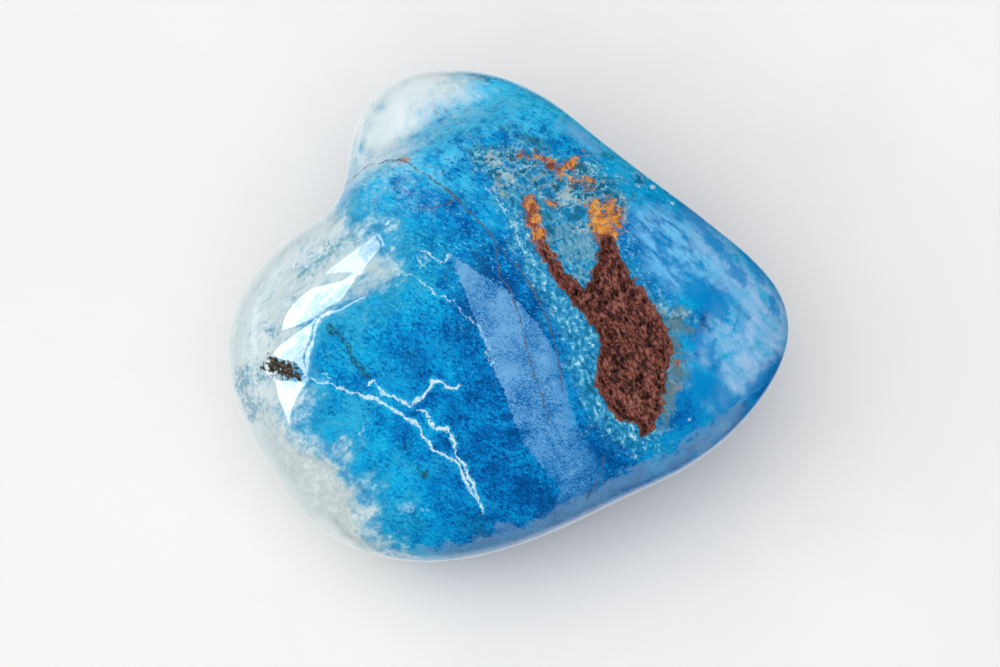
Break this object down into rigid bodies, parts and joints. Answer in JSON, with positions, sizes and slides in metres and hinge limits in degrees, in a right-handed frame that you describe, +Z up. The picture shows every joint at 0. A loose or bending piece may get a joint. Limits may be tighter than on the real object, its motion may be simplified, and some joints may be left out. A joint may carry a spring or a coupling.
{
  "type": "tumbled ajoite in quartz stone",
  "caption": "Polished tumbled stone of blue ajoite in milky quartz, a rounded three-cornered pebble with a rough red-brown patch and a small flat to rest on.",
  "frame": {"origin": "bottom centre of the stone's bounding box, on the surface that it rests on", "axes": "+Z up; +X towards the pointed end, along the longest side; the broad polished face looks up and leans 18 degrees towards -Y; the rear lobe is at +Y"},
  "size_m": [0.0284, 0.0252, 0.0144],
  "materials": {
    "ajoite_quartz": "high tumbled polish on mottled azure blue with milky quartz, a white vein, ochre specks and a rough red-brown patch",
    "clear_quartz": "clear to milky polished quartz that the blue mineral sits in"
  },
  "bodies": {
    "root": {"stone": "ajoite_quartz"}
  },
  "joints": []
}
